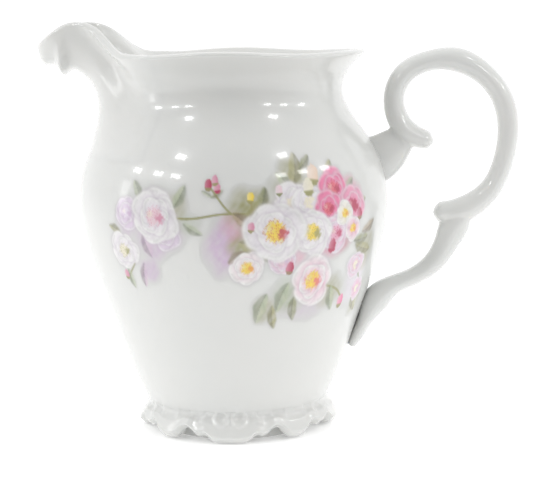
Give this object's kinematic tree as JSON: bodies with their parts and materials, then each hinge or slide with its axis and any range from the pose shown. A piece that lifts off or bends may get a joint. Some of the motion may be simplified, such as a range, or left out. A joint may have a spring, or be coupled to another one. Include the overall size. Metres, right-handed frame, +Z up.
{
  "type": "cream jug",
  "caption": "Porcelain cream jug: baluster body on a scalloped foot, flaring fluted lip, scroll handle and printed floral transfers.",
  "frame": {"origin": "centre of the standing ring, on the surface the jug stands on", "axes": "+Z up the jug's axis, +X towards the handle, -X towards the lip, so the jug's mirror plane is XZ"},
  "size_m": [0.1366, 0.0888, 0.1179],
  "materials": {
    "porcelain": "clear glossy glaze over white porcelain",
    "enamel": "glossy printed overglaze enamel"
  },
  "bodies": {
    "root": {"body": "porcelain", "foot": "porcelain", "spout": "porcelain", "handle": "porcelain", "transfer_spray_front": "enamel", "transfer_buds_front": "enamel", "transfer_sprig_front": "enamel", "transfer_spray_back": "enamel", "transfer_buds_back": "enamel", "transfer_sprig_back": "enamel"}
  },
  "joints": []
}
